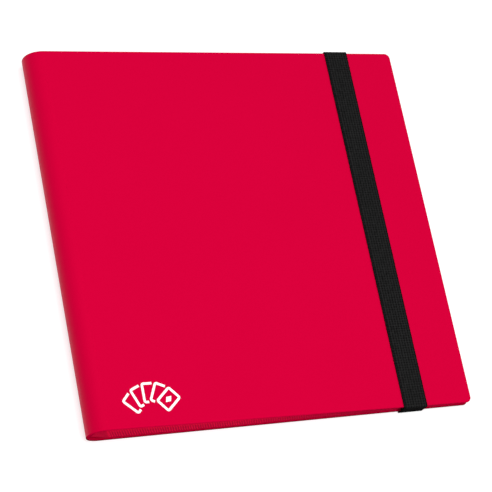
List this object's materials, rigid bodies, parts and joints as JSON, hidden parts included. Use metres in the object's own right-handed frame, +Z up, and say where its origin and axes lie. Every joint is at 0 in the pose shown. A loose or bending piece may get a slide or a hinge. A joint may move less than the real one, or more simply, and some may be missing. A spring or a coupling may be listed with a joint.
{
  "type": "trading card binder",
  "caption": "Side-loading trading card binder with a rounded spine, hinged plastic covers, clear-pocket sheets that turn, and an elastic closing strap.",
  "frame": {"origin": "centre of the outline on the surface that the closed binder lies on, back cover down", "axes": "+X from the spine to the fore-edge, +Y to the top edge of the covers, +Z up through the front cover"},
  "size_m": [0.317, 0.3074, 0.0264],
  "materials": {
    "cover_red": "satin",
    "sheet_red": "satin",
    "pocket_film": "gloss",
    "strap_black": "matte",
    "crimp_steel": "satin"
  },
  "bodies": {
    "binder_back": {"back_cover": "cover_red", "strap_tail_top": "strap_black", "strap_tail_bottom": "strap_black", "strap_crimp_top": "crimp_steel", "strap_crimp_bottom": "crimp_steel"},
    "spine": {"spine": "cover_red", "page_binding": "sheet_red"},
    "front_cover": {"front_cover": "cover_red"},
    "strap": {"elastic_strap": "strap_black"},
    "leaf_01": {"sheet_01": "sheet_red", "films_01": "pocket_film"},
    "leaf_02": {"sheet_02": "sheet_red", "films_02": "pocket_film"},
    "leaf_03": {"sheet_03": "sheet_red", "films_03": "pocket_film"},
    "leaf_04": {"sheet_04": "sheet_red", "films_04": "pocket_film"},
    "leaf_05": {"sheet_05": "sheet_red", "films_05": "pocket_film"},
    "leaf_06": {"sheet_06": "sheet_red", "films_06": "pocket_film"},
    "leaf_07": {"sheet_07": "sheet_red", "films_07": "pocket_film"},
    "leaf_08": {"sheet_08": "sheet_red", "films_08": "pocket_film"},
    "leaf_09": {"sheet_09": "sheet_red", "films_09": "pocket_film"},
    "leaf_10": {"sheet_10": "sheet_red", "films_10": "pocket_film"},
    "leaf_11": {"sheet_11": "sheet_red", "films_11": "pocket_film"},
    "leaf_12": {"sheet_12": "sheet_red", "films_12": "pocket_film"},
    "leaf_13": {"sheet_13": "sheet_red", "films_13": "pocket_film"},
    "leaf_14": {"sheet_14": "sheet_red", "films_14": "pocket_film"},
    "leaf_15": {"sheet_15": "sheet_red", "films_15": "pocket_film"},
    "leaf_16": {"sheet_16": "sheet_red", "films_16": "pocket_film"},
    "leaf_17": {"sheet_17": "sheet_red", "films_17": "pocket_film"},
    "leaf_18": {"sheet_18": "sheet_red", "films_18": "pocket_film"},
    "leaf_19": {"sheet_19": "sheet_red", "films_19": "pocket_film"},
    "leaf_20": {"sheet_20": "sheet_red", "films_20": "pocket_film"}
  },
  "joints": [
    {"name": "spine_fold", "type": "hinge", "parent": "binder_back", "child": "spine", "pos_m": [-0.15567, 0, 0.00283], "axis": [0, -1, 0], "range_deg": [0, 90]},
    {"name": "front_fold", "type": "hinge", "parent": "spine", "child": "front_cover", "pos_m": [-0.15562, 0, 0.02411], "axis": [0, -1, 0], "range_deg": [0, 93.29]},
    {"name": "strap_pull", "type": "slide", "parent": "binder_back", "child": "strap", "axis": [1, 0, 0], "range_m": [0, 0.066], "stiffness_N_per_m": 60, "deforming": ["elastic_strap"]},
    {"name": "leaf_01_turn", "type": "hinge", "parent": "spine", "child": "leaf_01", "pos_m": [-0.1418, 0, 0.00275], "axis": [0, -1, 0], "range_deg": [-92.84, 0]},
    {"name": "leaf_02_turn", "type": "hinge", "parent": "spine", "child": "leaf_02", "pos_m": [-0.1414, 0, 0.00385], "axis": [0, -1, 0], "range_deg": [-92.68, 0]},
    {"name": "leaf_03_turn", "type": "hinge", "parent": "spine", "child": "leaf_03", "pos_m": [-0.141, 0, 0.00495], "axis": [0, -1, 0], "range_deg": [-92.53, 0]},
    {"name": "leaf_04_turn", "type": "hinge", "parent": "spine", "child": "leaf_04", "pos_m": [-0.1406, 0, 0.00605], "axis": [0, -1, 0], "range_deg": [-92.38, 0]},
    {"name": "leaf_05_turn", "type": "hinge", "parent": "spine", "child": "leaf_05", "pos_m": [-0.1402, 0, 0.00715], "axis": [0, -1, 0], "range_deg": [-92.23, 0]},
    {"name": "leaf_06_turn", "type": "hinge", "parent": "spine", "child": "leaf_06", "pos_m": [-0.1398, 0, 0.00825], "axis": [0, -1, 0], "range_deg": [-92.08, 0]},
    {"name": "leaf_07_turn", "type": "hinge", "parent": "spine", "child": "leaf_07", "pos_m": [-0.1394, 0, 0.00935], "axis": [0, -1, 0], "range_deg": [-91.93, 0]},
    {"name": "leaf_08_turn", "type": "hinge", "parent": "spine", "child": "leaf_08", "pos_m": [-0.139, 0, 0.01045], "axis": [0, -1, 0], "range_deg": [-91.77, 0]},
    {"name": "leaf_09_turn", "type": "hinge", "parent": "spine", "child": "leaf_09", "pos_m": [-0.1386, 0, 0.01155], "axis": [0, -1, 0], "range_deg": [-91.62, 0]},
    {"name": "leaf_10_turn", "type": "hinge", "parent": "spine", "child": "leaf_10", "pos_m": [-0.1382, 0, 0.01265], "axis": [0, -1, 0], "range_deg": [-91.47, 0]},
    {"name": "leaf_11_turn", "type": "hinge", "parent": "spine", "child": "leaf_11", "pos_m": [-0.1382, 0, 0.01375], "axis": [0, -1, 0], "range_deg": [0, 94.67]},
    {"name": "leaf_12_turn", "type": "hinge", "parent": "spine", "child": "leaf_12", "pos_m": [-0.1386, 0, 0.01485], "axis": [0, -1, 0], "range_deg": [0, 94.83]},
    {"name": "leaf_13_turn", "type": "hinge", "parent": "spine", "child": "leaf_13", "pos_m": [-0.139, 0, 0.01595], "axis": [0, -1, 0], "range_deg": [0, 94.98]},
    {"name": "leaf_14_turn", "type": "hinge", "parent": "spine", "child": "leaf_14", "pos_m": [-0.1394, 0, 0.01705], "axis": [0, -1, 0], "range_deg": [0, 95.13]},
    {"name": "leaf_15_turn", "type": "hinge", "parent": "spine", "child": "leaf_15", "pos_m": [-0.1398, 0, 0.01815], "axis": [0, -1, 0], "range_deg": [0, 95.28]},
    {"name": "leaf_16_turn", "type": "hinge", "parent": "spine", "child": "leaf_16", "pos_m": [-0.1402, 0, 0.01925], "axis": [0, -1, 0], "range_deg": [0, 95.44]},
    {"name": "leaf_17_turn", "type": "hinge", "parent": "spine", "child": "leaf_17", "pos_m": [-0.1406, 0, 0.02035], "axis": [0, -1, 0], "range_deg": [0, 95.58]},
    {"name": "leaf_18_turn", "type": "hinge", "parent": "spine", "child": "leaf_18", "pos_m": [-0.141, 0, 0.02145], "axis": [0, -1, 0], "range_deg": [0, 95.73]},
    {"name": "leaf_19_turn", "type": "hinge", "parent": "spine", "child": "leaf_19", "pos_m": [-0.1414, 0, 0.02255], "axis": [0, -1, 0], "range_deg": [0, 95.89]},
    {"name": "leaf_20_turn", "type": "hinge", "parent": "spine", "child": "leaf_20", "pos_m": [-0.1418, 0, 0.02365], "axis": [0, -1, 0], "range_deg": [0, 96.04]}
  ],
  "couplings": [
    {"joint": "front_fold", "follows": "spine_fold", "ratio": 1.0364},
    {"joint": "leaf_01_turn", "follows": "spine_fold", "ratio": -1.0314},
    {"joint": "leaf_02_turn", "follows": "spine_fold", "ratio": -1.0297},
    {"joint": "leaf_03_turn", "follows": "spine_fold", "ratio": -1.028},
    {"joint": "leaf_04_turn", "follows": "spine_fold", "ratio": -1.0263},
    {"joint": "leaf_05_turn", "follows": "spine_fold", "ratio": -1.0247},
    {"joint": "leaf_06_turn", "follows": "spine_fold", "ratio": -1.023},
    {"joint": "leaf_07_turn", "follows": "spine_fold", "ratio": -1.0213},
    {"joint": "leaf_08_turn", "follows": "spine_fold", "ratio": -1.0196},
    {"joint": "leaf_09_turn", "follows": "spine_fold", "ratio": -1.0179},
    {"joint": "leaf_10_turn", "follows": "spine_fold", "ratio": -1.0162},
    {"joint": "leaf_11_turn", "follows": "spine_fold", "ratio": 1.0518},
    {"joint": "leaf_12_turn", "follows": "spine_fold", "ratio": 1.0535},
    {"joint": "leaf_13_turn", "follows": "spine_fold", "ratio": 1.0552},
    {"joint": "leaf_14_turn", "follows": "spine_fold", "ratio": 1.0569},
    {"joint": "leaf_15_turn", "follows": "spine_fold", "ratio": 1.0586},
    {"joint": "leaf_16_turn", "follows": "spine_fold", "ratio": 1.0603},
    {"joint": "leaf_17_turn", "follows": "spine_fold", "ratio": 1.0619},
    {"joint": "leaf_18_turn", "follows": "spine_fold", "ratio": 1.0636},
    {"joint": "leaf_19_turn", "follows": "spine_fold", "ratio": 1.0653},
    {"joint": "leaf_20_turn", "follows": "spine_fold", "ratio": 1.067}
  ]
}
